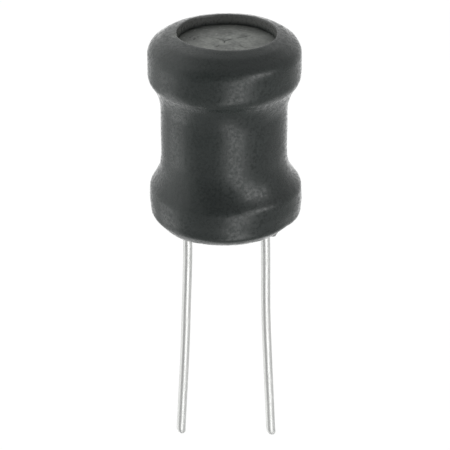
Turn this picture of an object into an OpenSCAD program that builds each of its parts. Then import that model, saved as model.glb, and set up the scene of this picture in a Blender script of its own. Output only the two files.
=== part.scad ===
// Radial choke coil: a ferrite drum core wound with enamelled copper wire,
// on two tinned leads, in a black heat-shrink sleeve.
// The origin is on the board's face, midway between the leads, with +Z up
// along the core and +X from the left lead to the right lead.

/* [Core] */
// Diameter of both flanges of the drum core
core_d = 8.7; // [8.2:0.1:10]
// Height of the drum core over both flanges
core_h = 11.3; // [9:0.1:14]
// Thickness of the upper flange
top_flange_t = 2.2; // [1.5:0.1:2.8]
// Thickness of the lower flange, which holds the leads
bottom_flange_t = 1.8; // [1.5:0.1:2.8]
// Diameter of the post that carries the winding
post_d = 4.5; // [3.8:0.1:4.8]
// Bevel on the outer edges of the core's end faces
core_bevel = 0.5; // [0.3:0.05:0.6]
// Fillet between the post and the flanges
post_fillet = 0.25; // [0.1:0.05:0.4]

/* [Winding] */
// Diameter of the wire over its enamel
wire_d = 0.25; // [0.2:0.01:0.3]
// Layers of wire on the post
layers = 5; // [3:1:5]
// Inner radius of the bend where a wire end turns under the flange
tail_bend = 0.2; // [0.1:0.02:0.24]
// Turn of each wire end round its lead, in degrees
hook_turn = 270; // [180:10:280]

/* [Leads] */
// Diameter of the tinned lead wire
lead_d = 0.6; // [0.5:0.02:0.7]
// Distance between the leads at the board
lead_pitch = 5; // [4.6:0.1:5.3]
// Length of a lead below the board's face
lead_len = 16.1; // [12:0.1:25]
// Depth of a lead in the lower flange
lead_embed = 1.2; // [0.8:0.1:1.3]
// Straight length of a lead below the board's face
lead_straight = 3.5; // [2:0.1:5]
// Length over which a lead bends outwards
lead_bend_len = 4.5; // [2:0.1:6]
// Outward tilt of a lead's free leg, in degrees
lead_splay = 2.9; // [1:0.1:5]
// Length of the pinched tip
tip_len = 0.3; // [0.1:0.05:0.6]
// Diameter of the pinched tip's end
tip_d = 0.26; // [0.1:0.02:0.4]
// Thickness of the adhesive round a lead in its hole
bond_t = 0.1; // [0.06:0.02:0.16]

/* [Sleeve] */
// Wall of the sleeve over the flanges
sleeve_wall = 0.39; // [0.3:0.02:0.6]
// Wall of the sleeve over the winding
waist_wall = 0.47; // [0.3:0.01:0.6]
// Thickness of the lips that fold over the core's end faces
lip_t = 0.67; // [0.5:0.01:0.9]
// Diameter of the opening in the upper lip
top_opening_d = 6.22; // [5:0.02:6.8]
// Width of the flat on the upper lip, round its opening
top_land = 0.36; // [0.2:0.02:0.6]
// Drop of the sloping shoulder below the upper lip
shoulder_h = 0.83; // [0.6:0.01:1]
// Width of the flat that rests on the board
foot_land = 0.38; // [0.3:0.02:0.5]
// Height of the bevel above the foot
foot_h = 0.67; // [0.4:0.01:0.9]
// Slope of the sleeve between flange and winding, from the axis, in degrees
bridge_angle = 34; // [25:1:50]
// Rounding of the sleeve over the flanges' inner edges
band_round = 0.8; // [0.3:0.05:1]
// Rounding of the sleeve into its waist
waist_round = 1.8; // [0.5:0.1:2.2]
// Rounding at both ends of the shoulder
shoulder_round = 0.9; // [0.4:0.05:1]
// Rounding at both ends of the foot's bevel
foot_round = 0.35; // [0.1:0.05:0.4]

/* [Hidden] */
$fn = 96;

// Gap left between curved faces that touch on the real part
contact_gap = 0.01;
// Points in each rounded corner of a profile
corner_steps = 8;
// Points across each turn of wire on the winding's face
turn_steps = 4;
// Angle of a turn that stands clear of its neighbours, from its crest
turn_arc = 60;
// Overrun of a cutting shape past the face it cuts
cut_over = 0.1;

// Core levels and radii
core_r = core_d / 2;
post_r = post_d / 2;
core_z0 = lip_t;
core_z1 = core_z0 + core_h;
window_z0 = core_z0 + bottom_flange_t;
window_z1 = core_z1 - top_flange_t;
flange_break = 0.15;

// Lead holes, and the slots that let the wire ends through the flange
lead_r = lead_d / 2;
lead_x = lead_pitch / 2;
hole_r = lead_r + bond_t;
hole_depth = lead_embed + bond_t;
hole_mouth = 0.1;
solder_cover = 0.1;
slot_wall = 0.3;
slot_clear = 0.05;
slot_w = wire_d + 6 * slot_clear;
hook_r = lead_r + wire_d / 2 + contact_gap;
slot_x = lead_x + hole_r + slot_wall;
tail_x = slot_x + slot_clear + wire_d / 2;
hook_z = core_z0 - solder_cover - wire_d / 2;
bend_r = tail_bend + wire_d / 2;

// Winding
end_gap = 0.06;
turns = floor((window_z1 - window_z0 - 2 * end_gap) / wire_d);
winding_h = turns * wire_d;
winding_z0 = (window_z0 + window_z1 - winding_h) / 2;
winding_r = post_r + contact_gap + layers * wire_d;

// Sleeve
body_h = core_h + 2 * lip_t;
bore_r = core_r + contact_gap;
sleeve_r = bore_r + sleeve_wall;
waist_bore_r = winding_r + contact_gap;
waist_r = waist_bore_r + waist_wall;
top_open_r = top_opening_d / 2;
foot_open_r = norm([tail_x, hook_r]) + wire_d / 2 + slot_clear;
foot_r = foot_open_r + foot_land;
bridge_h = (sleeve_r - waist_r) / tan(bridge_angle);
bridge_bore_h = (bore_r - waist_bore_r) / tan(bridge_angle);
bridge_len = (sleeve_r - waist_r) / sin(bridge_angle);
lip_fillet = 0.08;
shoulder_angle = atan2(shoulder_h, sleeve_r - top_open_r - top_land);
// A rounding takes at most this share of the flat length beside it
band_share = 0.3;
waist_share = 0.6;
land_share = 0.9;
band_fillet = min(band_round, band_share * bridge_len / tan(bridge_angle / 2));
waist_fillet = min(waist_round, waist_share * bridge_len / tan(bridge_angle / 2));
rim_fillet = min(shoulder_round, land_share * (top_land - lip_fillet) / tan(shoulder_angle / 2));
foot_angle = atan2(foot_h, sleeve_r - foot_r);
foot_fillet = min(foot_round, land_share * (foot_land - lip_fillet) / tan(foot_angle / 2));

// Leads
bend_radius = lead_bend_len / (lead_splay * PI / 180);
bend_drop = bend_radius * sin(lead_splay);
bend_shift = bend_radius * (1 - cos(lead_splay));
leg_len = (lead_len - lead_straight - bend_drop) / cos(lead_splay) - tip_len;
// The bent length draws slightly thinner, and laps into both straight lengths
bend_thinning = 0.005;
bend_lap = 0.2;
lap_angle = lead_splay * bend_lap / lead_bend_len;

// Solder round the hook of a wire end
solder_r = hook_r + wire_d / 2 + solder_cover;
solder_z1 = core_z0 - contact_gap;
solder_z0 = hook_z - wire_d / 2 - solder_cover;
solder_toe = 0.45;
solder_film = 0.04;
solder_toe_r = lead_r + solder_film;

function unit(v) = v / norm(v);

function arc_points(centre, radius, start, sweep, steps) =
    [for (i = [0:steps])
        centre + radius * [cos(start + sweep * i / steps), sin(start + sweep * i / steps)]];

// Points of the arc that rounds corner p, between its neighbours a and b
function corner_arc(a, p, b, radius) =
    let (u = unit(a - p),
        v = unit(b - p),
        half = acos(u * v) / 2,
        centre = p + unit(u + v) * radius / sin(half),
        from = p + u * radius / tan(half) - centre,
        to = p + v * radius / tan(half) - centre,
        start = atan2(from[1], from[0]),
        sweep = (atan2(to[1], to[0]) - start + 540) % 360 - 180)
    arc_points(centre, radius, start, sweep, corner_steps);

// A closed outline from corners [r, z, radius], each rounded to its radius
function rounded_outline(corners) =
    let (n = len(corners), flat = [for (c = corners) [c[0], c[1]]])
    [for (i = [0:n - 1]) each corners[i][2] == 0 ? [flat[i]]
        : corner_arc(flat[(i + n - 1) % n], flat[i], flat[(i + 1) % n], corners[i][2])];

// The winding's face: one shallow arc for each turn, from the bottom up
function turn_points() =
    [for (i = [0:turns - 1]) each arc_points(
        [winding_r - wire_d / 2, winding_z0 + (i + 0.5) * wire_d],
        wire_d / 2, -turn_arc, 2 * turn_arc, turn_steps)];

// Places a shape made for the right lead at either lead
module at_lead(side) {
    rotate([0, 0, side > 0 ? 0 : 180]) children();
}

module drum_core() {
    outline = [
        [0, core_z0, 0],
        [core_r - core_bevel, core_z0, 0],
        [core_r, core_z0 + core_bevel, 0],
        [core_r, window_z0, flange_break],
        [post_r, window_z0, post_fillet],
        [post_r, window_z1, post_fillet],
        [core_r, window_z1, flange_break],
        [core_r, core_z1 - core_bevel, 0],
        [core_r - core_bevel, core_z1, 0],
        [0, core_z1, 0]
    ];
    color("#565753") difference() {
        rotate_extrude() polygon(rounded_outline(outline));
        for (side = [-1, 1]) at_lead(side) {
            lead_hole();
            wire_slot();
        }
    }
}

module lead_hole() {
    translate([lead_x, 0, core_z0]) {
        translate([0, 0, -cut_over]) cylinder(r = hole_r, h = hole_depth + cut_over);
        translate([0, 0, -cut_over])
            cylinder(r1 = hole_r + hole_mouth + cut_over, r2 = hole_r, h = hole_mouth + cut_over);
    }
}

// A slot in the lower flange's rim with a half-round floor
module wire_slot() {
    floor_x = slot_x + slot_w / 2;
    slot_h = bottom_flange_t + 2 * cut_over;
    translate([floor_x, hook_r, core_z0 - cut_over]) {
        cylinder(d = slot_w, h = slot_h);
        translate([0, -slot_w / 2, 0]) cube([core_r, slot_w, slot_h]);
    }
}

module winding() {
    inner_r = post_r + contact_gap;
    corner = post_fillet;
    top = winding_z0 + winding_h;
    outline = concat(
        [[inner_r, top - corner], [inner_r, winding_z0 + corner], [inner_r + corner, winding_z0]],
        turn_points(),
        [[inner_r + corner, top]]);
    color("#b5662f") {
        rotate_extrude() polygon(outline);
        for (side = [-1, 1]) at_lead(side) wire_tail();
    }
}

// A wire end: out of the winding, down through the slot, in to the lead and round it
module wire_tail() {
    exit_z = winding_z0 + wire_d;
    drop_foot = hook_z + bend_r;
    translate([post_r, hook_r, exit_z]) rotate([0, 90, 0])
        cylinder(d = wire_d, h = tail_x + wire_d / 2 - post_r);
    translate([tail_x, hook_r, drop_foot])
        cylinder(d = wire_d, h = exit_z + wire_d / 2 - drop_foot);
    translate([tail_x - bend_r, hook_r, drop_foot]) rotate([90, 0, 0])
        rotate([0, 0, -90]) rotate_extrude(angle = 90) translate([bend_r, 0]) circle(d = wire_d);
    translate([lead_x, hook_r, hook_z]) rotate([0, 90, 0])
        cylinder(d = wire_d, h = tail_x - bend_r - lead_x);
    translate([lead_x, 0, hook_z]) rotate([0, 0, 90])
        rotate_extrude(angle = hook_turn) translate([hook_r, 0]) circle(d = wire_d);
}

// A lead: its root in the flange, a gentle bend, and a splayed leg with a pinched tip
module lead() {
    color("#c9cac8") translate([lead_x, 0, 0]) {
        translate([0, 0, -lead_straight])
            cylinder(r = lead_r, h = lead_straight + core_z0 + lead_embed);
        translate([bend_radius, 0, -lead_straight]) rotate([90, 0, 0])
            rotate([0, 0, 180 - lap_angle]) rotate_extrude(angle = lead_splay + 2 * lap_angle)
                translate([bend_radius, 0]) circle(r = lead_r - bend_thinning);
        translate([bend_shift, 0, -lead_straight - bend_drop]) rotate([0, 180 - lead_splay, 0]) {
            cylinder(r = lead_r, h = leg_len);
            translate([0, 0, leg_len]) cylinder(r1 = lead_r, r2 = tip_d / 2, h = tip_len);
        }
    }
}

// The adhesive that fills a lead's hole round and above the lead
module lead_bond() {
    wall_r = hole_r - contact_gap;
    mouth_r = wall_r + hole_mouth;
    inner_r = lead_r + contact_gap;
    lead_top = core_z0 + lead_embed;
    color("#8a7a4a") translate([lead_x, 0, 0]) rotate_extrude() polygon([
        [inner_r, core_z0],
        [mouth_r, core_z0],
        [wall_r, core_z0 + hole_mouth],
        [wall_r, core_z0 + hole_depth],
        [0, core_z0 + hole_depth],
        [0, lead_top],
        [inner_r, lead_top]
    ]);
}

// Solder round the hooked wire end, with a thin toe down the lead
module solder() {
    inner_r = lead_r + contact_gap;
    outline = [
        [inner_r, solder_z1, 0],
        [solder_r, solder_z1, wire_d / 2],
        [solder_r, solder_z0, wire_d / 2],
        [solder_toe_r, solder_z0 - solder_toe / 3, solder_toe / 6],
        [solder_toe_r, solder_z0 - solder_toe, 0],
        [inner_r, solder_z0 - solder_toe, 0]
    ];
    wire_hole_r = wire_d / 2 + contact_gap;
    entry_r = wire_hole_r + 2 * contact_gap;
    color("#b9bbb8") translate([lead_x, 0, 0]) difference() {
        rotate_extrude() difference() {
            polygon(rounded_outline(outline));
            translate([hook_r, hook_z]) circle(r = wire_hole_r);
        }
        translate([0, hook_r, hook_z]) rotate([0, 90, 0]) cylinder(r = entry_r, h = tail_x);
    }
}

// The sleeve: shrunk tight on both flanges and the winding, with a lip over each end
module shrink_sleeve() {
    bevel_shift = contact_gap * sqrt(2);
    bevel_drop = core_bevel + contact_gap - bevel_shift;
    end_face_r = core_r - core_bevel + bevel_shift;
    // A foot opening wider than the core's end face leaves the lip on the core's bevel
    foot_seat_z = core_z0 + max(0, foot_open_r - end_face_r);
    outside = [
        [foot_open_r, 0, lip_fillet],
        [foot_r, 0, foot_fillet],
        [sleeve_r, foot_h, foot_fillet],
        [sleeve_r, window_z0, band_fillet],
        [waist_r, window_z0 + bridge_h, waist_fillet],
        [waist_r, window_z1 - bridge_h, waist_fillet],
        [sleeve_r, window_z1, band_fillet],
        [sleeve_r, body_h - shoulder_h, shoulder_round],
        [top_open_r + top_land, body_h, rim_fillet],
        [top_open_r, body_h, lip_fillet]
    ];
    inside = [
        [top_open_r, core_z1, 0],
        [end_face_r, core_z1, 0],
        [bore_r, core_z1 - bevel_drop, 0],
        [bore_r, window_z1, 0],
        [waist_bore_r, window_z1 - bridge_bore_h, 0],
        [waist_bore_r, window_z0 + bridge_bore_h, 0],
        [bore_r, window_z0, 0],
        [bore_r, core_z0 + bevel_drop, 0]
    ];
    foot_seat = foot_open_r < end_face_r ? [[end_face_r, core_z0, 0]] : [];
    foot_edge = [[foot_open_r, foot_seat_z, 0]];
    color("#3d3e3f") rotate_extrude()
        polygon(rounded_outline(concat(outside, inside, foot_seat, foot_edge)));
}

drum_core();
winding();
at_lead(-1) lead();  // lead_left
at_lead(1) lead();  // lead_right
at_lead(-1) lead_bond();  // lead_bond_left
at_lead(1) lead_bond();  // lead_bond_right
at_lead(-1) solder();  // solder_left
at_lead(1) solder();  // solder_right
shrink_sleeve();
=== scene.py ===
# A radial choke coil: a wound ferrite drum core in a black shrunk sleeve, on two tinned leads.
# Sizes are in millimetres, and become metres where they go into Blender.
import math

import bmesh
import bpy
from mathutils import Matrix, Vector, noise
from mathutils.geometry import delaunay_2d_cdt


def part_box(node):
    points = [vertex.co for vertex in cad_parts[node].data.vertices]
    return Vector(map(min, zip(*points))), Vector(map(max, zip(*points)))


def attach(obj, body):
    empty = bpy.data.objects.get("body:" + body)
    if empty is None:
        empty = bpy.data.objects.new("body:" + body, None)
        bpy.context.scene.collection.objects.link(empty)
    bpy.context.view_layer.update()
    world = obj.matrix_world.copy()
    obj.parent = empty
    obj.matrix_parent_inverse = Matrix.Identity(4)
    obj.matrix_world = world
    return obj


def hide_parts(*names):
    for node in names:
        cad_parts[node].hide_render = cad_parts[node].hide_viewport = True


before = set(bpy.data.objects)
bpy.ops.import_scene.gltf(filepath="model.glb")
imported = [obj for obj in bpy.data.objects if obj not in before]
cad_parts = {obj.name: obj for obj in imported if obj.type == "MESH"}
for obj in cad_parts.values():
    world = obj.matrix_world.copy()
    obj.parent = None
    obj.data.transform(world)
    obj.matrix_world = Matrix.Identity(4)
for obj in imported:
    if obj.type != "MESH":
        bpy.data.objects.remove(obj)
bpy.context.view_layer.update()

MM = 0.001
BODY = "root"
PIECE_CREASE = math.radians(50)
NODE_CREASE = math.radians(40)


def node_box(node):
    """Lowest and highest corner of a CAD node in millimetres."""
    low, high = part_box(node)
    return low / MM, high / MM


# Sizes taken from the CAD nodes in model.glb
core_low, core_high = node_box("drum_core")
sleeve_high = node_box("shrink_sleeve")[1]
winding_high = node_box("winding")[1]
lead_low, lead_high = node_box("lead_right")
CORE_R = core_high.x
CORE_FOOT = core_low.z
CORE_TOP = core_high.z
SLEEVE_R = sleeve_high.x
BODY_H = sleeve_high.z
LEAD_R = lead_high.y
LEAD_ROOT_X = lead_low.x + LEAD_R
LEAD_TOP = lead_high.z
LEAD_TIP = lead_low.z

# Sleeve
TOP_OPENING_R = 3.11
FOOT_OPENING_R = 3.58
FOOT_R = 3.96
WAIST_R = 3.94
LIP_R = 3.85
LIP_GAP = 0.02
LIP_UNDERCUT = 0.25
# Height over which the cut wall's pale tone fades into painted shade at its foot
WALL_SHADE_FADE = 0.35
RIM_SHIFT = 0.09
RIM_WAVE = 0.035
CORE_BEVEL = 0.5
CORE_GAP = 0.01
SLEEVE_STEP = 0.13
SLEEVE_HIDDEN_STEP = 0.6
SLEEVE_SIDES = 256

# Leads
LEAD_SIDES = 32
LEAD_STEP = 0.15
TIP_LENGTH = 0.38
TIP_SHIFT = 0.08
TIP_R_SHARE = 0.3
# Where the tip's rings lie, as shares of the path's last step
TIP_STEPS = (0.92, 0.75, 0.55, 0.35, 0.18, 0.06, 0)

# Solder: its toe is a share of the lead's radius, and its hollow and shoulder of the joint's height
FILLET_SIDES = 48
FILLET_STEP = 0.05
FILLET_TOE = 1.2
FILLET_HOLLOW = 0.3
FILLET_SHOULDER = 0.55
FILLET_ROUND = 0.3
FILLET_EDGE = 0.06
FILLET_SWELL = 0.05
FILLET_SWELL_LENGTH = 0.5

# Camera
VIEW_ELEVATION = math.radians(26.45)
VIEW_DISTANCE = 148.75
VIEW_TARGET_Z = -0.56
SENSOR_MM = 36
FRAME_PIXELS = 450
FOCAL_PIXELS = 2320


def linear(hex_colour):
    """An sRGB hex colour as the linear colour that a socket takes."""
    levels = [int(hex_colour[i:i + 2], 16) / 255 for i in (1, 3, 5)]
    return (*[v / 12.92 if v <= 0.04045 else ((v + 0.055) / 1.055) ** 2.4 for v in levels], 1)


def add_node(tree, kind, inputs=None, **settings):
    """A shader node with its settings made, and its inputs set to values or linked to outputs."""
    node = tree.nodes.new("ShaderNode" + kind)
    for name, value in settings.items():
        setattr(node, name, value)
    for name, value in (inputs or {}).items():
        if isinstance(value, bpy.types.NodeSocket):
            tree.links.new(value, node.inputs[name])
        else:
            node.inputs[name].default_value = value
    return node


def per_mm(size):
    """The scale at which a pattern repeats about every size millimetres."""
    return 1 / (size * MM)


def new_tree(name):
    """A material of that name with an empty node tree, and the tree."""
    material = bpy.data.materials.new(name)
    material.use_nodes = True
    material.node_tree.nodes.clear()
    return material, material.node_tree


# Places of a mix's two numbers, of its two colours and of a mixed colour among the Mix node's sockets
NUMBER_A, NUMBER_B = 2, 3
MIX_A, MIX_B, MIX_RESULT = 6, 7, 2


def shrink_tubing():
    """Cross-linked polyolefin tube, extruded and then shrunk on by heat.

    It gives the eye a satin black with a faint green cast, a fine grain that breaks up its
    highlights, a slight orange peel, and a few pits."""
    material, tree = new_tree("black_polyolefin_shrink_tube")
    place = add_node(tree, "TexCoord").outputs["Object"]
    mottle = add_node(tree, "TexNoise", {"Vector": place, "Scale": per_mm(1.6), "Detail": 4})
    # Dull specks, drawn coarser than they are, because their real size is finer than a pixel
    grain = add_node(tree, "TexNoise", {"Vector": place, "Scale": per_mm(0.18), "Detail": 2})
    peel = add_node(tree, "TexNoise", {"Vector": place, "Scale": per_mm(0.38), "Detail": 2})
    pits = add_node(tree, "TexVoronoi", {"Vector": place, "Scale": per_mm(1.1)})
    kind = add_node(tree, "SeparateColor", {"Color": pits.outputs["Color"]})
    size = add_node(tree, "MapRange", {
        "Value": kind.outputs["Red"], "From Min": 0.8, "From Max": 1, "To Min": 0, "To Max": 0.1})
    pit = add_node(tree, "MapRange", {
        "Value": pits.outputs["Distance"], "From Min": 0, "From Max": size.outputs["Result"],
        "To Min": 1, "To Max": 0})
    tint = add_node(tree, "Mix", {
        0: mottle.outputs["Fac"], MIX_A: linear("#202524"), MIX_B: linear("#2d3331")},
        data_type="RGBA")
    # The cut wall round the upper opening is paler and browner than the skin, and its foot is left
    # dark as painted shade where the wall meets the core
    cut = add_node(tree, "Attribute", attribute_name="cut")
    toned = add_node(tree, "Mix", {
        0: cut.outputs["Fac"], MIX_A: tint.outputs[MIX_RESULT], MIX_B: linear("#666765")},
        data_type="RGBA")
    pitted_tone = add_node(tree, "Mix", {
        0: pit.outputs["Result"], MIX_A: toned.outputs[MIX_RESULT], MIX_B: linear("#1c1d1d")},
        data_type="RGBA")
    # Torn plastic is pale where the knife caught it
    scuff = add_node(tree, "Attribute", attribute_name="scuff")
    flecks = add_node(tree, "MapRange", {
        "Value": grain.outputs["Fac"], "From Min": 0.3, "From Max": 0.5})
    torn = add_node(tree, "Math", {
        0: scuff.outputs["Fac"], 1: flecks.outputs[0]}, operation="MULTIPLY")
    colour = add_node(tree, "Mix", {
        0: torn.outputs[0], MIX_A: pitted_tone.outputs[MIX_RESULT], MIX_B: linear("#a3a5a1")},
        data_type="RGBA")
    roughness = add_node(tree, "MapRange", {
        "Value": grain.outputs["Fac"], "From Min": 0.35, "From Max": 0.65,
        "To Min": 0.2, "To Max": 0.46})
    orange_peel = add_node(tree, "Bump", {
        "Height": peel.outputs["Fac"], "Strength": 1, "Distance": 0.01 * MM})
    grained = add_node(tree, "Bump", {
        "Height": grain.outputs["Fac"], "Strength": 1, "Distance": 0.004 * MM,
        "Normal": orange_peel.outputs["Normal"]})
    pitted = add_node(tree, "Bump", {
        "Height": pit.outputs["Result"], "Strength": 1, "Distance": 0.03 * MM,
        "Normal": grained.outputs["Normal"]}, invert=True)
    skin = add_node(tree, "BsdfPrincipled", {
        "Base Color": colour.outputs[MIX_RESULT], "Roughness": roughness.outputs["Result"],
        "IOR": 1.5, "Normal": pitted.outputs["Normal"]})
    add_node(tree, "OutputMaterial", {"Surface": skin.outputs["BSDF"]})
    return material


# Radii between which painted shade, standing for the lip's shadow, darkens the core's upper face
UNSHADED_R, SHADED_R = 1.6, 3


def ferrite():
    """Manganese-zinc ferrite powder, pressed and sintered.

    It gives the eye a dull green-grey ceramic, cloudy over a millimetre or so, with a gritty
    face and dark cracks. The darkness of its cracks, its pits and its border is painted shade."""
    material, tree = new_tree("sintered_ferrite")
    place = add_node(tree, "TexCoord").outputs["Object"]
    cloud = add_node(tree, "TexNoise", {"Vector": place, "Scale": per_mm(0.9), "Detail": 6})
    # The pressed powder's grit, drawn coarser than it is so that it shows
    grit = add_node(tree, "TexNoise", {"Vector": place, "Scale": per_mm(0.2), "Detail": 3})
    crack = add_node(tree, "Attribute", attribute_name="crack")
    tone = add_node(tree, "Mix", {
        0: 0.4, NUMBER_A: cloud.outputs["Fac"], NUMBER_B: grit.outputs["Fac"]},
        data_type="FLOAT")
    powder = add_node(tree, "MapRange", {
        "Value": tone.outputs[0], "From Min": 0.36, "From Max": 0.62})
    clouded = add_node(tree, "Mix", {
        0: powder.outputs[0], MIX_A: linear("#555855"), MIX_B: linear("#8e918c")}, data_type="RGBA")
    # Painted shade: the border of the face is darkened round an off-centre middle, for the shadow
    # that the lip casts on it
    middle = Vector((0.4, -0.2, CORE_TOP)) * MM
    reach = add_node(tree, "VectorMath", {0: place, 1: middle}, operation="DISTANCE")
    border = add_node(tree, "MapRange", {
        "Value": reach.outputs["Value"], "From Min": UNSHADED_R * MM, "From Max": SHADED_R * MM,
        "To Max": 0.75})
    painted_border_shade = add_node(tree, "Mix", {
        0: border.outputs[0], MIX_A: clouded.outputs[MIX_RESULT], MIX_B: linear("#434643")},
        data_type="RGBA")
    fleck = add_node(tree, "MapRange", {
        "Value": grit.outputs["Fac"], "From Min": 0.66, "From Max": 0.76, "To Max": 0.6})
    flecked = add_node(tree, "Mix", {
        0: fleck.outputs[0], MIX_A: painted_border_shade.outputs[MIX_RESULT], MIX_B: linear("#b4b6b2")},
        data_type="RGBA")
    # Painted shade: cracks and pits are darkened, for the shade that falls in them
    colour = add_node(tree, "Mix", {
        0: crack.outputs["Fac"], MIX_A: flecked.outputs[MIX_RESULT], MIX_B: linear("#1e1e1d")},
        data_type="RGBA")
    grit_bump = add_node(tree, "Bump", {
        "Height": grit.outputs["Fac"], "Strength": 1, "Distance": 0.03 * MM})
    face = add_node(tree, "BsdfPrincipled", {
        "Base Color": colour.outputs[MIX_RESULT], "Roughness": 0.62, "IOR": 1.8,
        "Normal": grit_bump.outputs["Normal"]})
    add_node(tree, "OutputMaterial", {"Surface": face.outputs["BSDF"]})
    return material


def tinned_wire():
    """Copper wire drawn through a die and dipped in tin.

    It gives the eye a bright, slightly soft metal with faint lines along its length."""
    material, tree = new_tree("tinned_copper_wire")
    place = add_node(tree, "TexCoord").outputs["Object"]
    # The die's lines run along the wire, so the pattern is drawn out along Z. They are drawn
    # coarser than they are, so that they show.
    along = add_node(tree, "Mapping", {"Vector": place, "Scale": (1, 1, 0.02)})
    lines = add_node(tree, "TexNoise", {
        "Vector": along.outputs["Vector"], "Scale": per_mm(0.08), "Detail": 2})
    cloud = add_node(tree, "TexNoise", {"Vector": place, "Scale": per_mm(0.9), "Detail": 3})
    colour = add_node(tree, "Mix", {
        0: cloud.outputs["Fac"], MIX_A: linear("#dddedc"), MIX_B: linear("#e8e9e7")},
        data_type="RGBA")
    roughness = add_node(tree, "MapRange", {
        "Value": cloud.outputs["Fac"], "From Min": 0.3, "From Max": 0.7,
        "To Min": 0.41, "To Max": 0.53})
    drawn = add_node(tree, "Bump", {
        "Height": lines.outputs["Fac"], "Strength": 1, "Distance": 0.004 * MM})
    metal = add_node(tree, "BsdfPrincipled", {
        "Base Color": colour.outputs[MIX_RESULT], "Metallic": 1,
        "Roughness": roughness.outputs["Result"], "Normal": drawn.outputs["Normal"]})
    add_node(tree, "OutputMaterial", {"Surface": metal.outputs["BSDF"]})
    return material


def solder():
    """Tin solder that flowed round the lead and set.

    It gives the eye a softer, greyer metal than the wire, with a crystalline mottle."""
    material, tree = new_tree("tin_solder")
    place = add_node(tree, "TexCoord").outputs["Object"]
    crystals = add_node(tree, "TexVoronoi", {"Vector": place, "Scale": per_mm(0.12)})
    colour = add_node(tree, "Mix", {
        0: crystals.outputs["Distance"], MIX_A: linear("#b9bab8"), MIX_B: linear("#d0d1cf")},
        data_type="RGBA")
    skin = add_node(tree, "Bump", {
        "Height": crystals.outputs["Distance"], "Strength": 1, "Distance": 0.006 * MM})
    metal = add_node(tree, "BsdfPrincipled", {
        "Base Color": colour.outputs[MIX_RESULT], "Metallic": 1, "Roughness": 0.34,
        "Normal": skin.outputs["Normal"]})
    add_node(tree, "OutputMaterial", {"Surface": metal.outputs["BSDF"]})
    return material


def enamelled_copper():
    """Copper wire in a coat of baked polyurethane varnish.

    It gives the eye a warm red-brown metal under a clear gloss."""
    material, tree = new_tree("enamelled_copper")
    place = add_node(tree, "TexCoord").outputs["Object"]
    cloud = add_node(tree, "TexNoise", {"Vector": place, "Scale": per_mm(0.7), "Detail": 3})
    colour = add_node(tree, "Mix", {
        0: cloud.outputs["Fac"], MIX_A: linear("#8a4a26"), MIX_B: linear("#b06a3a")},
        data_type="RGBA")
    metal = add_node(tree, "BsdfPrincipled", {
        "Base Color": colour.outputs[MIX_RESULT], "Metallic": 1, "Roughness": 0.3,
        "Coat Weight": 0.6, "Coat Roughness": 0.12})
    add_node(tree, "OutputMaterial", {"Surface": metal.outputs["BSDF"]})
    return material


def epoxy():
    """Cured epoxy that holds each lead in its hole.

    It gives the eye a glossy amber resin, cloudy from its filler."""
    material, tree = new_tree("amber_epoxy")
    place = add_node(tree, "TexCoord").outputs["Object"]
    cloud = add_node(tree, "TexNoise", {"Vector": place, "Scale": per_mm(0.3), "Detail": 3})
    colour = add_node(tree, "Mix", {
        0: cloud.outputs["Fac"], MIX_A: linear("#6b4a22"), MIX_B: linear("#8d6a38")},
        data_type="RGBA")
    resin = add_node(tree, "BsdfPrincipled", {
        "Base Color": colour.outputs[MIX_RESULT], "Roughness": 0.22, "IOR": 1.55})
    add_node(tree, "OutputMaterial", {"Surface": resin.outputs["BSDF"]})
    return material


def place_piece(name, mesh, slot, *nodes):
    """A piece that rides with the coil and stands for CAD nodes, which it hides; the slot is not
    used.
    """
    mesh.shade_smooth()
    mesh.set_sharp_from_angle(angle=PIECE_CREASE)
    piece = bpy.data.objects.new(name, mesh)
    bpy.context.scene.collection.objects.link(piece)
    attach(piece, BODY)
    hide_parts(*nodes)
    return piece


def closed_mesh(name, points, faces, material):
    """A closed mesh from points in millimetres, with its faces turned outward."""
    mesh = bpy.data.meshes.new(name)
    mesh.from_pydata([Vector(p) * MM for p in points], [], faces)
    mesh.materials.append(material)
    shell = bmesh.new()
    shell.from_mesh(mesh)
    bmesh.ops.recalc_face_normals(shell, faces=shell.faces)
    shell.to_mesh(mesh)
    shell.free()
    return mesh


def ring_faces(rings, sides, wrap):
    """Quads between rings of points, and from the last ring to the first if they wrap."""
    faces = []
    for ring in range(rings if wrap else rings - 1):
        start, after = ring * sides, (ring + 1) % rings * sides
        for side in range(sides):
            turn = (side + 1) % sides
            faces.append((start + side, start + turn, after + turn, after + side))
    return faces


def rounded_path(corners, step):
    """Points no further apart than step along (r, z, fillet) corners, with arcs for fillets."""
    bends = [Vector(corners[0][:2])]
    for before, corner, after in zip(corners, corners[1:], corners[2:]):
        tip = Vector(corner[:2])
        back = (Vector(before[:2]) - tip).normalized()
        ahead = (Vector(after[:2]) - tip).normalized()
        half = back.angle(ahead) / 2
        centre = tip + (back + ahead).normalized() * corner[2] / math.sin(half)
        arm = tip + back * corner[2] / math.tan(half) - centre
        sweep = (math.pi - 2 * half) * math.copysign(1, back.cross(ahead))
        count = max(1, math.ceil(abs(sweep) * corner[2] / step))
        for i in range(count + 1):
            turn = -sweep * i / count
            cosine, sine = math.cos(turn), math.sin(turn)
            bends.append(centre + Vector((arm.x * cosine - arm.y * sine,
                                          arm.x * sine + arm.y * cosine)))
    bends.append(Vector(corners[-1][:2]))
    path = []
    for start, end in zip(bends, bends[1:]):
        count = max(1, math.ceil((end - start).length / step))
        path += [start.lerp(end, i / count) for i in range(count)]
    return path + [bends[-1]]


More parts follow.
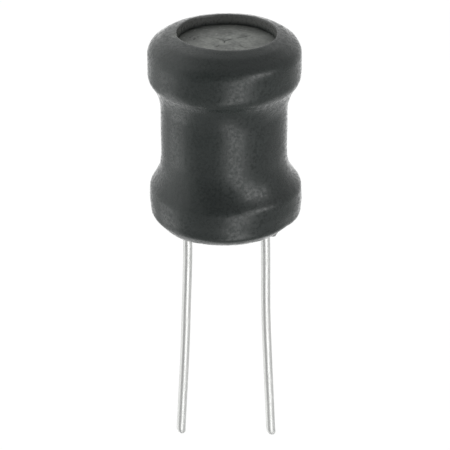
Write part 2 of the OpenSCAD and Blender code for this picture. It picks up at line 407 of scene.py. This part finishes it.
def smooth_path(points, step):
    """Points about a step apart on a smooth curve through the given ones."""
    ends = [2 * points[0] - points[1], *points, 2 * points[-1] - points[-2]]
    path = []
    for a, b, c, d in zip(ends, ends[1:], ends[2:], ends[3:]):
        count = math.ceil((c - b).length / step)
        for i in range(count):
            t = i / count
            path.append(0.5 * (2 * b + (c - a) * t + (2 * a - 5 * b + 4 * c - d) * t ** 2
                               + (3 * b - a - 3 * c + d) * t ** 3))
    return path + [points[-1]]


def ease(value, start, end):
    """0 before start, 1 after end and smooth between."""
    share = min(1, max(0, (value - start) / (end - start)))
    return share * share * (3 - 2 * share)


# Sleeve: its outline, as (radius, height, fillet) corners, is revolved and then pushed about as
# the shrunk tube is. The inside lies on the core's bevels and flanges and on the winding.
INSIDE_R = CORE_R + CORE_GAP
WOUND_R = winding_high.x + CORE_GAP
LIP_TOP_Z = CORE_TOP + CORE_GAP
LIP_FOOT_Z = CORE_FOOT - CORE_GAP
SEAT_FILLET = 0.02
BRIDGE_FILLET = 0.1
SLEEVE_OUTSIDE = [
    (FOOT_OPENING_R, 0, 0),
    (FOOT_R, 0, 0.3),
    (SLEEVE_R, 0.66, 0.39),
    (SLEEVE_R, 2.48, 0.6),
    (WAIST_R, 3.72, 3.3),
    (WAIST_R, 8.65, 2.9),
    (SLEEVE_R, 9.75, 1.05),
    (SLEEVE_R, 11.81, 0.89),
    (LIP_R, BODY_H - 0.21, 1.3),
    (TOP_OPENING_R, BODY_H + 0.04, 0.07),
    (TOP_OPENING_R, LIP_TOP_Z + LIP_GAP, 0),
]
SLEEVE_INSIDE = [
    (TOP_OPENING_R, LIP_TOP_Z + LIP_GAP, 0),
    (TOP_OPENING_R + LIP_UNDERCUT, LIP_TOP_Z, SEAT_FILLET),
    (INSIDE_R - CORE_BEVEL, LIP_TOP_Z, SEAT_FILLET),
    (INSIDE_R, LIP_TOP_Z - CORE_BEVEL, SEAT_FILLET),
    (INSIDE_R, 9.7, BRIDGE_FILLET),
    (WOUND_R, 8.9, BRIDGE_FILLET),
    (WOUND_R, 3.5, BRIDGE_FILLET),
    (INSIDE_R, 2.5, BRIDGE_FILLET),
    (INSIDE_R, LIP_FOOT_Z + CORE_BEVEL, SEAT_FILLET),
    (INSIDE_R - CORE_BEVEL, LIP_FOOT_Z, SEAT_FILLET),
    (FOOT_OPENING_R, LIP_FOOT_Z, SEAT_FILLET),
    (FOOT_OPENING_R, 0, 0),
]

# The sleeve's outside leans along X, as it shrank unevenly: how far at the foot, then the heights
# between which that changes and by how much
SWAY_AT_FOOT = 0.045
SWAY_CHANGES = [(1.5, 4.5, -0.115), (8, 11, 0.03)]
# Slow waves and a finer unevenness of the skin: length and height of each
RIPPLES = [(1.5, 0.014), (0.4, 0.005)]


def sleeve_sway(z):
    """How far the sleeve's outside leans along X at a height."""
    return SWAY_AT_FOOT + sum(change * ease(z, start, end) for start, end, change in SWAY_CHANGES)


def sleeve_ripple(point):
    """How far the skin's ripples stand proud at a point."""
    return sum(height * noise.noise(point / length) for length, height in RIPPLES)


# Places where the skin is fuller or flatter than a turned shape: angle in degrees from +X towards
# +Y and height of the middle, reach round the axis in degrees and along it in millimetres, and how
# far it stands out
SLEEVE_SWELLS = [
    (30, 12.2, 30, 0.5, 0.05),
    (65, 12.4, 25, 0.4, 0.04),
    (-60, 12, 40, 0.5, -0.09),
    (0, 7, 60, 9, 0.03),
    (-8, 8.75, 40, 0.35, 0.03),
    (-80, 8.3, 55, 0.6, 0.05),
    (10, 2.8, 40, 0.5, 0.06),
    (176, 3.75, 50, 0.3, -0.04),
    (0, 1.5, 40, 0.5, 0.05),
    (180, 1.7, 40, 0.6, 0.06),
    (-90, 0.9, 70, 0.55, -0.07),
    (-88, 0.36, 32, 0.28, 0.085),
    (226, 0.15, 24, 0.4, 0.12),
    (-34, 0.35, 9, 0.45, -0.08),
    (-40.5, 0.05, 2.6, 0.13, 0.13),
]
SKIN_SWELL = 0.02
# Places where the lip round the upper opening is off round: angle and reach in degrees, how far it
# stands up and how far it reaches in
LIP_SWELLS = [(-108, 58, 0.08, 0.18), (132, 24, 0.06, 0), (50, 24, 0.045, 0)]
# Scuffs left by the knife: angle, radius and height, then reach in degrees and in millimetres
SCUFFS = [(-40.5, FOOT_R, 0.05, 3, 0.25), (186, TOP_OPENING_R, BODY_H - 0.1, 5, 0.2)]
NICK_ANGLE, NICK_REACH, NICK_WIDTH, NICK_DEPTH = 187, 4, 0.25, 0.15
# About how many waves the rim has over the length of its radius
RIM_WAVES = 2.3
# How far a face of the skin leans in towards the axis before it counts as cut wall, and in full
CUT_LEAN, CUT_FULL_LEAN = 0.3, 0.8


def turn_from(angle, middle):
    """Degrees from a middle in degrees to an angle in radians."""
    return (math.degrees(angle) - middle + 180) % 360 - 180


def sleeve_swell(angle, z):
    """How far the skin stands out at an angle and height, apart from its ripple."""
    swell = SKIN_SWELL
    for middle, height, reach, rise, out in SLEEVE_SWELLS:
        away = (turn_from(angle, middle) / reach) ** 2 + ((z - height) / rise) ** 2
        swell += out * math.exp(-away)
    return swell


def sleeve_scuff(angle, spot):
    """How scuffed the skin is at an angle and an outline point, from 0 to 1."""
    return max(math.exp(-(turn_from(angle, middle) / reach) ** 2
                        - (spot - Vector((radius, height))).length_squared / width ** 2)
               for middle, radius, height, reach, width in SCUFFS)


def sleeve_point(spot, outward, angle, skin):
    """The place of an outline point at an angle, where skin is 1 on the outside and 0 inside."""
    across = Vector((math.cos(angle), math.sin(angle), 0))
    up = Vector((0, 0, 1))
    point = across * spot.x + up * spot.y
    rim = ease(spot.y, LIP_TOP_Z - CORE_GAP, LIP_TOP_Z) * (1 - ease(spot.x, TOP_OPENING_R, LIP_R))
    lift = skin * (sleeve_ripple(point) + sleeve_swell(angle, spot.y) * (1 - rim))
    point += (across * outward.x + up * outward.y) * lift
    point += across * rim * RIM_WAVE * noise.noise(across * RIM_WAVES)
    point.x += skin * sleeve_sway(spot.y) * (1 - rim) + RIM_SHIFT * rim
    for middle, reach, above, inward in LIP_SWELLS:
        share = rim * math.exp(-(turn_from(angle, middle) / reach) ** 2)
        point += (up * above * skin - across * inward) * share
    nick = skin * rim * (1 - ease(spot.x, TOP_OPENING_R, TOP_OPENING_R + NICK_WIDTH))
    nick *= math.exp(-(turn_from(angle, NICK_ANGLE) / NICK_REACH) ** 2)
    point.z -= nick * NICK_DEPTH
    return point


def shrink_sleeve(material):
    """The tube shrunk over the flanges and waist, with a lip at each end."""
    outside = rounded_path(SLEEVE_OUTSIDE, SLEEVE_STEP)
    inside = rounded_path(SLEEVE_INSIDE, SLEEVE_HIDDEN_STEP)[1:-1]
    outline = outside + inside
    points, scuffs, cuts = [], [], []
    for i, spot in enumerate(outline):
        run = outline[(i + 1) % len(outline)] - outline[i - 1]
        outward = Vector((run.y, -run.x)).normalized()
        skin = 1 if i < len(outside) else 0
        cut = skin * ease(-outward.x, CUT_LEAN, CUT_FULL_LEAN)
        # Painted shade: the pale tone fades out towards the wall's foot
        cut *= ease(spot.y, LIP_TOP_Z, LIP_TOP_Z + WALL_SHADE_FADE)
        for side in range(SLEEVE_SIDES):
            angle = math.tau * side / SLEEVE_SIDES
            points.append(sleeve_point(spot, outward, angle, skin))
            scuffs.append(skin * sleeve_scuff(angle, spot))
            cuts.append(cut)
    faces = ring_faces(len(outline), SLEEVE_SIDES, True)
    mesh = closed_mesh("sleeve", points, faces, material)
    mesh.attributes.new("scuff", "FLOAT", "POINT").data.foreach_set("value", scuffs)
    mesh.attributes.new("cut", "FLOAT", "POINT").data.foreach_set("value", cuts)
    return place_piece("sleeve", mesh, "shrink_tubing", "shrink_sleeve")


# Core: the cracks and pits of its upper face, as places on that face
CRACKS = [
    [(-0.83, 1.02), (-0.5, 0.82), (-0.03, 0.39), (0.43, 0.66), (0.5, 0.7)],
    [(0.82, 0.86), (0.93, 0.92), (1.46, 1.2)],
    [(-0.03, 0.39), (-0.05, 0.1)],
    [(-0.55, -0.59), (-0.37, -0.3)],
    [(0.94, -0.32), (1.11, -0.58), (1.34, -0.68)],
]
CRACK_HALF_WIDTH = 0.055
CRACK_DEPTH = 0.11
CRACK_STEP = 0.07
CRACK_WANDER = 0.035
CRACK_WANDER_LENGTH = 0.25
# A crack starts with this share of its depth, deepens over so many steps, and has banks this steep
CRACK_END = 0.4
CRACK_FADE_STEPS = 3
CRACK_BANK = 1.5
PITS = [(-2.19, 0.96), (-1.89, 0.87), (-1.68, 1.06), (-1.92, 0.66)]
PIT_R = 0.12
PIT_DEPTH = 0.06
# How dark painted shade makes a pit, and the share of its radius over which it gets so
PIT_PAINTED_SHADE = 0.9
PIT_SLOPE = 0.7
PIT_RINGS = (0.4, 0.75, 1)
PIT_SIDES = 10
FACE_STEP = 0.2
FACE_SHOWN_R = 3.3
FACE_WAVE = 0.012
FACE_WAVE_LENGTH = 0.9
FACE_WAVED_R = 3


def crack_lines():
    """Each crack as a run of points that wanders as a break in a ceramic does."""
    lines = []
    for crack in CRACKS:
        line = []
        for start, end in zip(crack, crack[1:]):
            start, end = Vector(start), Vector(end)
            side = (end - start).normalized().orthogonal()
            count = math.ceil((end - start).length / CRACK_STEP)
            for i in range(count + 1):
                spot = start.lerp(end, i / count)
                wander = CRACK_WANDER * noise.noise((spot / CRACK_WANDER_LENGTH).to_3d())
                line.append(spot + side * wander * math.sin(math.pi * i / count))
        lines.append(line)
    return lines


def face_depth(spot, lines):
    """How deep the core's upper face is at a spot, and how dark the painted shade of a crack or pit
    makes it there.
    """
    crack = 0
    for line in lines:
        for i, point in enumerate(line):
            fade = min(1, CRACK_END + min(i, len(line) - 1 - i) / CRACK_FADE_STEPS)
            inside = 1 - (spot - point).length / CRACK_HALF_WIDTH
            crack = max(crack, fade * min(1, CRACK_BANK * inside))
    pit = max(1 - (spot - Vector(place)).length / PIT_R for place in PITS)
    wave = FACE_WAVE * noise.noise((spot / FACE_WAVE_LENGTH).to_3d())
    wave *= 1 - ease(spot.length, FACE_WAVED_R, FACE_SHOWN_R)
    depth = CRACK_DEPTH * max(0, crack) + PIT_DEPTH * ease(pit, 0, 1) - wave
    return depth, max(0, crack, PIT_PAINTED_SHADE * ease(pit, 0, PIT_SLOPE))


def face_spots(lines):
    """The spots that the upper face's mesh needs: cracks, their banks, pits and a grid between."""
    spots = []
    for line in lines:
        for before, point, after in zip([line[0], *line], line, [*line[1:], line[-1]]):
            side = (after - before).normalized().orthogonal() * CRACK_HALF_WIDTH
            spots += [point, point + side, point - side]
    for place in PITS:
        for share in PIT_RINGS:
            for i in range(PIT_SIDES):
                turn = math.tau * i / PIT_SIDES
                arm = Vector((math.cos(turn), math.sin(turn))) * PIT_R * share
                spots.append(Vector(place) + arm)
        spots.append(Vector(place))
    marks = list(spots)
    count = math.ceil(FACE_SHOWN_R / FACE_STEP)
    for row in range(-count, count + 1):
        for column in range(-count, count + 1):
            spot = Vector((column + row % 2 / 2, row * math.sqrt(3) / 2)) * FACE_STEP
            clear = min((spot - mark).length for mark in marks) > FACE_STEP / 3
            if spot.length < FACE_SHOWN_R and clear:
                spots.append(spot)
    return spots


def drum_core(material):
    """The CAD core with its upper face made again, cracked and pitted."""
    shell = bmesh.new()
    shell.from_mesh(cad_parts["drum_core"].data)
    bmesh.ops.remove_doubles(shell, verts=shell.verts, dist=CORE_GAP * MM / 10)
    crack_shade_layer = shell.verts.layers.float.new("crack")
    level = (CORE_TOP - CORE_GAP / 10) * MM
    flat = [face for face in shell.faces if all(v.co.z > level for v in face.verts)]
    bmesh.ops.delete(shell, geom=flat, context="FACES")
    rim_edges = [edge for edge in shell.edges if edge.is_boundary]
    rim = list(dict.fromkeys(v for edge in rim_edges for v in edge.verts))
    place_of = {v: i for i, v in enumerate(rim)}
    lines = crack_lines()
    spots = [v.co.xy / MM for v in rim] + face_spots(lines)
    loop = [tuple(place_of[v] for v in edge.verts) for edge in rim_edges]
    found, _, triangles, sources, _, _ = delaunay_2d_cdt(spots, loop, [], 0, CORE_GAP / 100)
    corners = []
    for spot, source in zip(found, sources):
        if source and source[0] < len(rim):
            corners.append(rim[source[0]])
            continue
        depth, crack = face_depth(spot, lines)
        corner = shell.verts.new(Vector((spot.x, spot.y, CORE_TOP - depth)) * MM)
        corner[crack_shade_layer] = crack
        corners.append(corner)
    for triangle in triangles:
        shell.faces.new([corners[i] for i in triangle])
    bmesh.ops.recalc_face_normals(shell, faces=shell.faces)
    mesh = bpy.data.meshes.new("core")
    shell.to_mesh(mesh)
    shell.free()
    mesh.materials.clear()
    mesh.materials.append(material)
    return place_piece("core", mesh, "ferrite", "drum_core")


# Leads: points on each centreline below the body, as the leads were bent in handling
LEAD_BENDS = {
    "left": [(-2.4, -2.2), (-2.525, -6.6), (-2.655, -10.2), (-2.96, LEAD_TIP)],
    "right": [(2.615, -2.2), (2.665, -6.6), (2.805, -10.2), (3.085, LEAD_TIP - 0.1)],
}


def lead_path(side):
    """A lead's centreline from its hole in the core down to its cut end."""
    root = math.copysign(LEAD_ROOT_X, LEAD_BENDS[side][0][0])
    spots = [(root, LEAD_TOP), (root, CORE_FOOT), *LEAD_BENDS[side]]
    return smooth_path([Vector((x, 0, z)) for x, z in spots], LEAD_STEP)


def lead(side, material):
    """A tinned wire whose end was sheared off, which leaves it bevelled more on one side."""
    path = lead_path(side)
    end = path.pop()
    before_tip = path[-1]
    path += [end.lerp(before_tip, share) for share in TIP_STEPS]
    points = []
    for i, centre in enumerate(path):
        run = (path[min(i + 1, len(path) - 1)] - path[max(i - 1, 0)]).normalized()
        to_end = min(1, (end - centre).length / TIP_LENGTH)
        rounding = math.sqrt(1 - (1 - to_end) ** 2)
        radius = LEAD_R * (TIP_R_SHARE + (1 - TIP_R_SHARE) * rounding)
        sheared = centre + Vector((TIP_SHIFT * (1 - to_end), 0, 0))
        back = Vector((0, 1, 0))
        across = back.cross(run)
        for step in range(LEAD_SIDES):
            turn = math.tau * step / LEAD_SIDES
            points.append(sheared + (across * math.cos(turn) + back * math.sin(turn)) * radius)
    faces = ring_faces(len(path), LEAD_SIDES, False)
    faces.append(tuple(range(LEAD_SIDES)))
    faces.append(tuple(range(len(points) - LEAD_SIDES, len(points))))
    mesh = closed_mesh("wire_" + side, points, faces, material)
    return place_piece("wire_" + side, mesh, "tinned_wire", "lead_" + side)


def solder_fillet(side, material):
    """The solder round a lead's root, over the hooked end of the winding's wire."""
    node = "solder_" + side
    low, high = node_box(node)
    reach = (high.y - low.y) / 2
    rise = high.z - low.z
    axis_x = math.copysign(LEAD_ROOT_X, high.x + low.x)
    outline = rounded_path([
        (LEAD_R, low.z, 0),
        (LEAD_R * FILLET_TOE, low.z + FILLET_HOLLOW * rise, FILLET_ROUND),
        (reach, low.z + FILLET_SHOULDER * rise, FILLET_ROUND),
        (reach, high.z, FILLET_EDGE),
        (LEAD_R, high.z, 0),
    ], FILLET_STEP)
    points = []
    for spot in outline:
        for step in range(FILLET_SIDES):
            turn = math.tau * step / FILLET_SIDES
            across = Vector((math.cos(turn), math.sin(turn), 0))
            point = Vector((axis_x, 0, spot.y)) + across * spot.x
            swell = FILLET_SWELL * noise.noise(point / FILLET_SWELL_LENGTH)
            points.append(point + across * swell * ease(spot.x, LEAD_R, reach))
    faces = ring_faces(len(outline), FILLET_SIDES, True)
    mesh = closed_mesh("fillet_" + side, points, faces, material)
    return place_piece("fillet_" + side, mesh, "solder", node)


def dress_node(node, material):
    """A CAD node that keeps its own shape gets its real material and smooth shading."""
    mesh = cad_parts[node].data
    mesh.materials.clear()
    mesh.materials.append(material)
    mesh.shade_smooth()
    mesh.set_sharp_from_angle(angle=NODE_CREASE)


# Stage: a pale floor under the leads' ends, with a white backdrop round it
FLOOR_GAP = 0.12
FLOOR_Z = LEAD_TIP - FLOOR_GAP
FLOOR_HALF = 400
# How white the paper is to the eye and to the coil, and how much of that is light of its own
FLOOR_WHITE, FLOOR_BOUNCE, FLOOR_GLOW = 1.05, 0.95, 0.93

# Panels of light round the coil, as its gloss shows them. A turn is in degrees from the camera
# towards the right, and a height in degrees above the horizon. Each panel has the turn and height
# of its middle, half its width and height, the width of its soft edge, its lean as turn by height,
# and its brightness.
STUDIO_PANELS = [
    (-120, 20, 45, 30, 40, 0, 1.14),
    (170, 5, 25, 40, 60, 0, 1),
    (178, -22, 14, 16, 35, 0, 1.85),
    (36, -18, 9, 20, 18, 0.6, 2.7),
    (52, 16, 15, 7, 11, 0, 3.4),
    (-98, -36, 10, 8, 25, 0, 1.75),
    (-178, -60, 78, 16, 24, 0, 1.25),
    (0, -42, 180, 3, 9, 0, 0.5),
    (0, -60, 180, 30, 40, 0, 0.45),
    (0, 80, 180, 20, 30, 0, 0.4),
]
# The room between the panels grows from dim to less dim over these turns
ROOM_TURNS, ROOM_LEVELS = (-10, 80), (0.22, 0.54)
# The room's even light on the coil
ROOM_LIGHT = 0.52
# Where the lamps aim
COIL_MIDDLE = (0, 0, 5)


def floor():
    """A white paper floor that keeps a faint shadow of the coil."""
    material, tree = new_tree("white_paper")
    path = add_node(tree, "LightPath")
    seen = add_node(tree, "Math", {
        0: path.outputs["Is Camera Ray"], 1: path.outputs["Is Transmission Ray"]},
        operation="MAXIMUM")
    strength = add_node(tree, "MapRange", {
        "Value": seen.outputs[0], "To Min": FLOOR_BOUNCE, "To Max": FLOOR_WHITE})
    paper = add_node(tree, "BsdfDiffuse", {"Color": linear("#f2f2f2")})
    white = add_node(tree, "Emission", {"Color": (1, 1, 1, 1), "Strength": strength.outputs[0]})
    mixed = add_node(tree, "MixShader", {
        0: FLOOR_GLOW, 1: paper.outputs["BSDF"], 2: white.outputs["Emission"]})
    add_node(tree, "OutputMaterial", {"Surface": mixed.outputs["Shader"]})
    mesh = bpy.data.meshes.new("floor")
    corners = [(-1, -1), (1, -1), (1, 1), (-1, 1)]
    points = [Vector((x * FLOOR_HALF, y * FLOOR_HALF, FLOOR_Z)) * MM for x, y in corners]
    mesh.from_pydata(points, [], [(0, 1, 2, 3)])
    mesh.materials.append(material)
    sheet = bpy.data.objects.new("floor", mesh)
    sheet.visible_glossy = False
    bpy.context.scene.collection.objects.link(sheet)


def studio():
    """A white backdrop for the eye, a soft grey room light, and the panels for the coil's gloss."""
    world = bpy.data.worlds.new("studio")
    world.use_nodes = True
    tree = world.node_tree
    tree.nodes.clear()
    path = add_node(tree, "LightPath")
    direction = add_node(tree, "TexCoord").outputs["Generated"]
    axes = add_node(tree, "SeparateXYZ", {"Vector": direction})
    ahead = add_node(tree, "Math", {0: axes.outputs["Y"], 1: -1}, operation="MULTIPLY")
    azimuth = add_node(tree, "Math", {
        0: axes.outputs["X"], 1: ahead.outputs[0]}, operation="ARCTAN2")
    turn = add_node(tree, "Math", {0: azimuth.outputs[0]}, operation="DEGREES")
    elevation = add_node(tree, "Math", {0: axes.outputs["Z"]}, operation="ARCSINE")
    height = add_node(tree, "Math", {0: elevation.outputs[0]}, operation="DEGREES")
    glow = add_node(tree, "MapRange", {
        "Value": turn.outputs[0], "From Min": ROOM_TURNS[0], "From Max": ROOM_TURNS[1],
        "To Min": ROOM_LEVELS[0], "To Max": ROOM_LEVELS[1]})
    for middle, level, half_width, half_height, edge, lean, brightness in STUDIO_PANELS:
        upright = add_node(tree, "Math", {
            0: height.outputs[0], 1: -lean, 2: turn.outputs[0]}, operation="MULTIPLY_ADD")
        from_middle = add_node(tree, "Math", {
            0: upright.outputs[0], 1: middle}, operation="SUBTRACT")
        wrapped = add_node(tree, "Math", {
            0: from_middle.outputs[0], 1: 180, 2: -180}, operation="WRAP")
        across = add_node(tree, "Math", {0: wrapped.outputs[0]}, operation="ABSOLUTE")
        from_level = add_node(tree, "Math", {
            0: height.outputs[0], 1: level}, operation="SUBTRACT")
        along = add_node(tree, "Math", {0: from_level.outputs[0]}, operation="ABSOLUTE")
        width_share = add_node(tree, "MapRange", {
            "Value": across.outputs[0], "From Min": half_width + edge, "From Max": half_width})
        height_share = add_node(tree, "MapRange", {
            "Value": along.outputs[0], "From Min": half_height + edge, "From Max": half_height,
            "To Max": brightness})
        panel = add_node(tree, "Math", {
            0: width_share.outputs[0], 1: height_share.outputs[0]}, operation="MULTIPLY")
        glow = add_node(tree, "Math", {
            0: glow.outputs[0], 1: panel.outputs[0]}, operation="MAXIMUM")
    seen = add_node(tree, "Math", {
        0: path.outputs["Is Camera Ray"], 1: path.outputs["Is Transmission Ray"]},
        operation="MAXIMUM")
    room = add_node(tree, "Background", {"Color": (1, 1, 1, 1), "Strength": ROOM_LIGHT})
    glossy = add_node(tree, "Background", {"Color": (1, 1, 1, 1), "Strength": glow.outputs[0]})
    white = add_node(tree, "Background", {"Color": (1, 1, 1, 1), "Strength": 1})
    lit = add_node(tree, "MixShader", {
        0: path.outputs["Is Glossy Ray"], 1: room.outputs[0], 2: glossy.outputs[0]})
    shown = add_node(tree, "MixShader", {
        0: seen.outputs[0], 1: lit.outputs[0], 2: white.outputs[0]})
    add_node(tree, "OutputWorld", {"Surface": shown.outputs[0]})
    bpy.context.scene.world = world


def soft_light(name, place, aim, width, height, radiance):
    """A soft lamp of a width and height at a place, facing its aim, as bright as radiance says."""
    lamp = bpy.data.lights.new(name, "AREA")
    lamp.shape = "RECTANGLE"
    lamp.size = width * MM
    lamp.size_y = height * MM
    lamp.energy = radiance * math.pi * lamp.size * lamp.size_y
    panel = bpy.data.objects.new(name, lamp)
    panel.location = Vector(place) * MM
    panel.rotation_euler = (Vector(aim) - Vector(place)).to_track_quat("-Z", "Y").to_euler()
    panel.visible_camera = False
    panel.visible_glossy = False
    bpy.context.scene.collection.objects.link(panel)


def camera():
    """The camera where the view's perspective puts it."""
    lens = bpy.data.cameras.new("camera")
    lens.sensor_width = SENSOR_MM
    lens.lens = SENSOR_MM * FOCAL_PIXELS / FRAME_PIXELS
    lens.clip_start = MM
    eye = bpy.data.objects.new("camera", lens)
    back = Vector((0, -math.cos(VIEW_ELEVATION), math.sin(VIEW_ELEVATION)))
    eye.location = (Vector((0, 0, VIEW_TARGET_Z)) + back * VIEW_DISTANCE) * MM
    eye.rotation_euler = (math.pi / 2 - VIEW_ELEVATION, 0, 0)
    bpy.context.scene.collection.objects.link(eye)
    bpy.context.scene.camera = eye


# Making
camera()
wire_metal = tinned_wire()
solder_metal = solder()
resin = epoxy()
shrink_sleeve(shrink_tubing())
drum_core(ferrite())
dress_node("winding", enamelled_copper())
for side in ("left", "right"):
    lead(side, wire_metal)
    solder_fillet(side, solder_metal)
    dress_node("lead_bond_" + side, resin)

floor()
studio()
soft_light("left_panel", place=(-125, -5, 40), aim=COIL_MIDDLE,
           width=100, height=110, radiance=1.3)
soft_light("overhead_panel", place=(0, 45, 135), aim=COIL_MIDDLE,
           width=130, height=70, radiance=0.65)
bpy.context.scene.view_settings.view_transform = "Standard"
